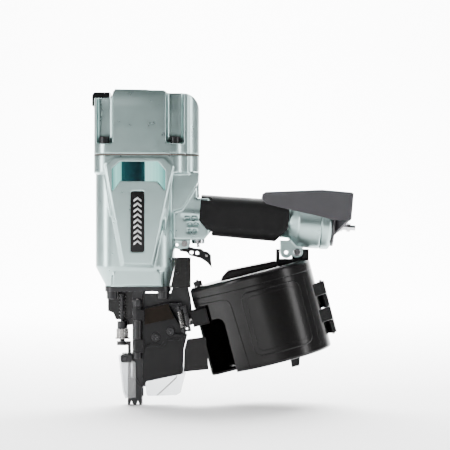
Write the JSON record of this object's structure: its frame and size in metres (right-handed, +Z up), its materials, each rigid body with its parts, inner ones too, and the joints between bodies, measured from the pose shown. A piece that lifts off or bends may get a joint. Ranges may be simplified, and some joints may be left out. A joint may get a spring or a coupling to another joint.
{
  "type": "pneumatic coil nail gun",
  "caption": "Air-driven coil nail gun with upright barrel, rubber-sleeved handle, leaning round magazine, hinged nail door, trigger, contact tip and swinging rafter hook.",
  "frame": {"origin": "centre of the nose's mouth, on the axis that the driver moves along", "axes": "+Z up the drive axis from the mouth to the cap; +X towards the end of the handle; -Y is the side with the nail door and the hook plate"},
  "size_m": [0.3073, 0.1313, 0.367],
  "materials": {
    "cast": "silver-green metallic paint on cast light alloy",
    "black_cast": "satin black paint on cast aluminium",
    "black_plastic": "moulded black plastic, satin",
    "rubber_grip": "soft black rubber",
    "rubber_seal": "black nitrile rubber",
    "black_steel": "black oxide steel",
    "steel": "ground steel",
    "chrome": "bright plating",
    "aluminium": "machined",
    "teal": "glossy teal trim",
    "label": "gloss black plate",
    "hook_grey": "dark grey powder coat",
    "brown": "dark brown wear insert",
    "gasket": "grey-brown pressed fibre gasket",
    "clear": "clear grey polycarbonate"
  },
  "bodies": {
    "frame": {"housing": "cast", "grip": "rubber_grip", "cap": "cast", "cap_gasket": "gasket", "cap_bolts": "black_steel", "exhaust_cover": "black_plastic", "side_windows": "teal", "side_labels": "label", "cylinder": "aluminium", "cylinder_seals": "rubber_seal", "bumper": "rubber_seal", "nose": "black_steel", "nose_bolts": "black_steel", "rod_guard": "black_plastic", "guide_bracket": "black_steel", "guard_clamps": "black_steel", "bracket_screws": "black_steel", "chip_guard_front": "clear", "chip_guard_rear": "clear", "lever_guide": "black_plastic", "trigger_pin": "steel", "valve_bushing": "chrome", "end_cap": "cast", "end_cap_bolts": "black_steel", "air_plug": "chrome", "door_hinge_pin": "steel", "magazine_holder": "black_plastic", "bracket_bolt": "chrome", "coil_post": "black_plastic", "cover_hinge_pin": "steel", "feed_cylinder": "black_cast", "head_valve_spring": "steel", "plunger_spring": "steel", "lever_spring": "black_steel", "feed_coil": "steel"},
    "driver": {"piston": "aluminium", "piston_ring": "rubber_seal", "driver_blade": "steel"},
    "head_valve": {"head_valve": "black_plastic"},
    "trigger": {"trigger": "black_cast", "arm_pin": "steel"},
    "trigger_arm": {"trigger_arm": "steel"},
    "valve_plunger": {"valve_plunger": "chrome"},
    "push_lever": {"push_lever": "black_steel"},
    "depth_knob": {"depth_knob": "steel"},
    "contact_tip": {"contact_tip": "black_steel"},
    "nail_door": {"nail_door": "black_cast", "door_insert": "brown", "door_screws": "black_steel", "guard_wire": "steel", "latch_pin": "black_steel", "latch_coil": "steel"},
    "door_latch": {"door_latch": "black_steel"},
    "feeder": {"feed_piston": "steel", "feed_pawl": "steel"},
    "magazine_cover": {"magazine_cover": "black_plastic"},
    "cover_latch": {"cover_latch": "black_plastic"},
    "nail_tray": {"nail_tray": "black_plastic"},
    "rafter_hook": {"rafter_hook": "hook_grey"}
  },
  "joints": [
    {"name": "driver_stroke", "type": "slide", "parent": "frame", "child": "driver", "axis": [0, 0, -1], "range_m": [0, 0.1]},
    {"name": "head_valve_lift", "type": "slide", "parent": "frame", "child": "head_valve", "axis": [0, 0, 1], "range_m": [0, 0.004], "stiffness_N_per_m": 800, "springref_m": -0.005, "deforming": ["head_valve_spring"]},
    {"name": "trigger_pull", "type": "hinge", "parent": "frame", "child": "trigger", "pos_m": [0.054, 0, 0.1784], "axis": [0, -1, 0], "range_deg": [0, 10], "stiffness_Nm_per_rad": 0.5, "springref_deg": -8.59},
    {"name": "trigger_arm_rock", "type": "hinge", "parent": "trigger", "child": "trigger_arm", "pos_m": [0.0795, 0, 0.1643], "axis": [0, 1, 0], "range_deg": [0, 3], "stiffness_Nm_per_rad": 0.05, "springref_deg": -11.46},
    {"name": "plunger_press", "type": "slide", "parent": "frame", "child": "valve_plunger", "axis": [0, 0, 1], "range_m": [0, 0.0027], "stiffness_N_per_m": 100, "springref_m": -0.002, "deforming": ["plunger_spring"]},
    {"name": "push_lever_lift", "type": "slide", "parent": "frame", "child": "push_lever", "axis": [0, 0, 1], "range_m": [0, 0.01], "stiffness_N_per_m": 300, "springref_m": -0.02, "deforming": ["lever_spring"]},
    {"name": "depth_turn", "type": "hinge", "parent": "push_lever", "child": "depth_knob", "pos_m": [-0.019, 0, 0.073], "axis": [0, 0, 1], "range_deg": [-720, 720]},
    {"name": "tip_depth", "type": "slide", "parent": "push_lever", "child": "contact_tip", "axis": [0, 0, 1], "range_m": [-0.0025, 0.0025]},
    {"name": "door_swing", "type": "hinge", "parent": "frame", "child": "nail_door", "pos_m": [-0.0007, -0.0125, 0.0788], "axis": [0, 0, -1], "range_deg": [0, 110]},
    {"name": "latch_press", "type": "hinge", "parent": "nail_door", "child": "door_latch", "pos_m": [0.0505, -0.0182, 0.09], "axis": [0.2272, 0, -0.9738], "range_deg": [0, 25], "stiffness_Nm_per_rad": 0.1, "springref_deg": -17.19},
    {"name": "feed_stroke", "type": "slide", "parent": "frame", "child": "feeder", "axis": [-0.9681, 0, -0.2504], "range_m": [0, 0.0055], "stiffness_N_per_m": 200, "springref_m": -0.005},
    {"name": "cover_swing", "type": "hinge", "parent": "frame", "child": "magazine_cover", "pos_m": [0.21872, 0, 0.112], "axis": [-0.2504, 0, 0.9681], "range_deg": [0, 100]},
    {"name": "cover_latch_turn", "type": "hinge", "parent": "frame", "child": "cover_latch", "pos_m": [0.06989, -0.008, 0.13032], "axis": [-0.2504, 0, 0.9681], "range_deg": [0, 80]},
    {"name": "tray_height", "type": "slide", "parent": "frame", "child": "nail_tray", "axis": [-0.2504, 0, 0.9681], "range_m": [0, 0.02]},
    {"name": "hook_swing", "type": "hinge", "parent": "frame", "child": "rafter_hook", "pos_m": [0.22732, 0, 0.19925], "axis": [-0.9962, 0, 0.0872], "range_deg": [0, 150]}
  ],
  "couplings": [
    {"joint": "trigger_pull", "follows": "plunger_press", "rad_per_m": 64.5},
    {"joint": "depth_turn", "follows": "tip_depth", "rad_per_m": 5000}
  ]
}
